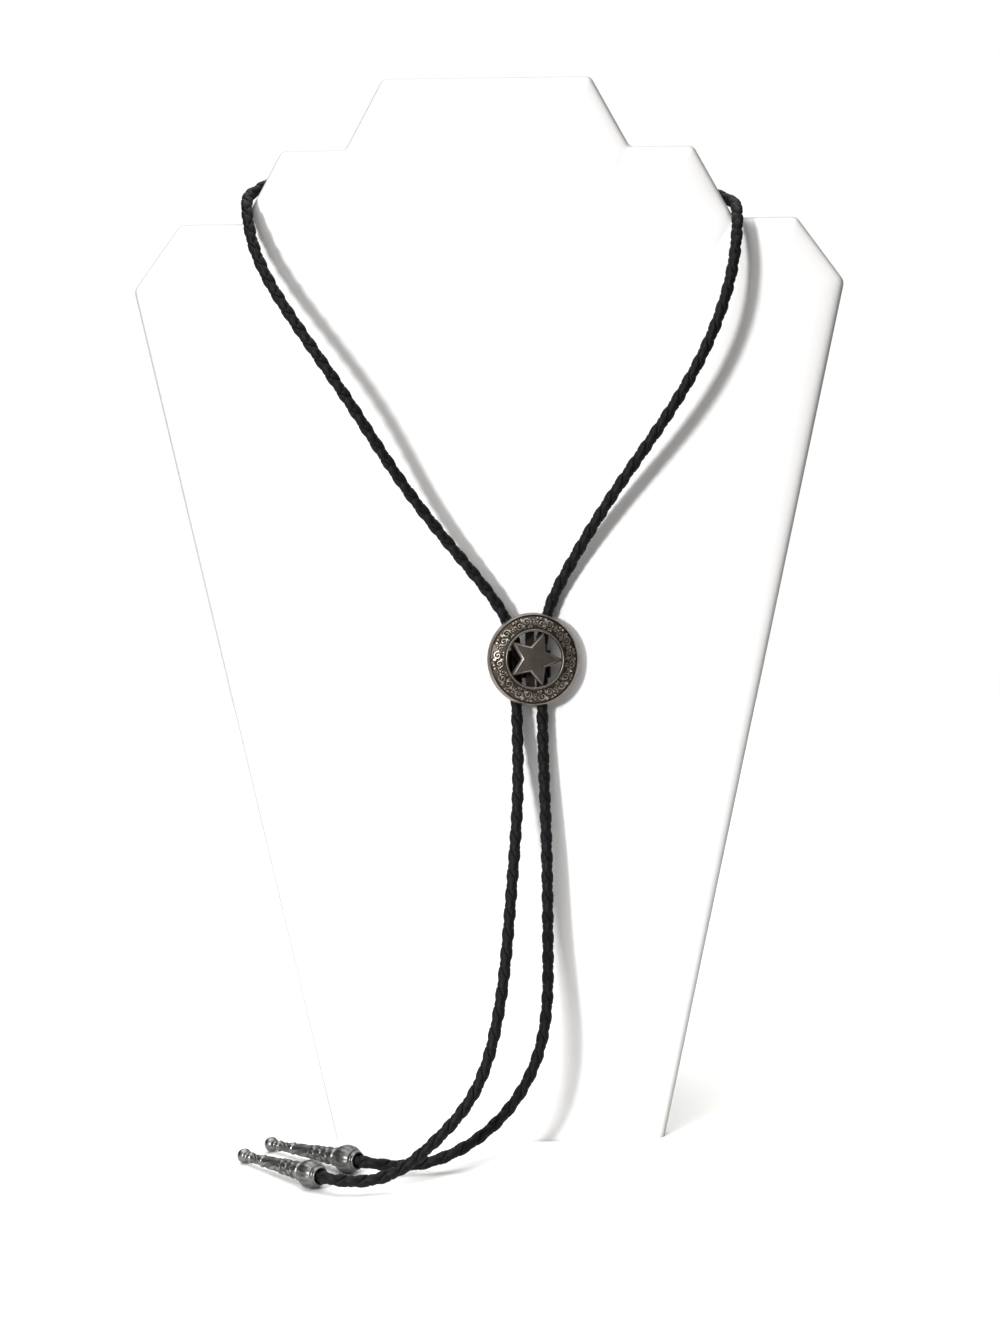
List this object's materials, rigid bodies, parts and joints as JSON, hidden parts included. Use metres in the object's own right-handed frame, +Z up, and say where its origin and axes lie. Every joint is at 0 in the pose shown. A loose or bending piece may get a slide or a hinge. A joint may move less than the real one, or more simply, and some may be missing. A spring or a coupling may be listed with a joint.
{
  "type": "bolo tie on display bust",
  "caption": "Braided cord tie with a round pierced star slide and cast tips, hung on a white stepped display board that stands on an easel leg.",
  "frame": {"origin": "middle of the display board's flat underside, on the surface that it stands on", "axes": "+Z up, +X to the viewer's right, -Y towards the viewer; the board's face leans back from -Y by eight degrees"},
  "size_m": [0.2344, 0.1681, 0.347],
  "materials": {
    "black_leather": "braided, soft sheen",
    "cast_silver": "cast, antiqued in the recesses, polished on the high parts",
    "cast_pewter": "cast, dark antique",
    "sheet_steel": "plain bent sheet",
    "white_leatherette": "padded, fine grain, satin",
    "white_card": "paper-covered board, matt"
  },
  "bodies": {
    "root": {"bolo_cord": "black_leather", "concho": "cast_silver", "cord_clip": "sheet_steel", "front_tip": "cast_pewter", "rear_tip": "cast_pewter", "display_board": "white_leatherette", "easel_leg": "white_card"}
  },
  "joints": []
}
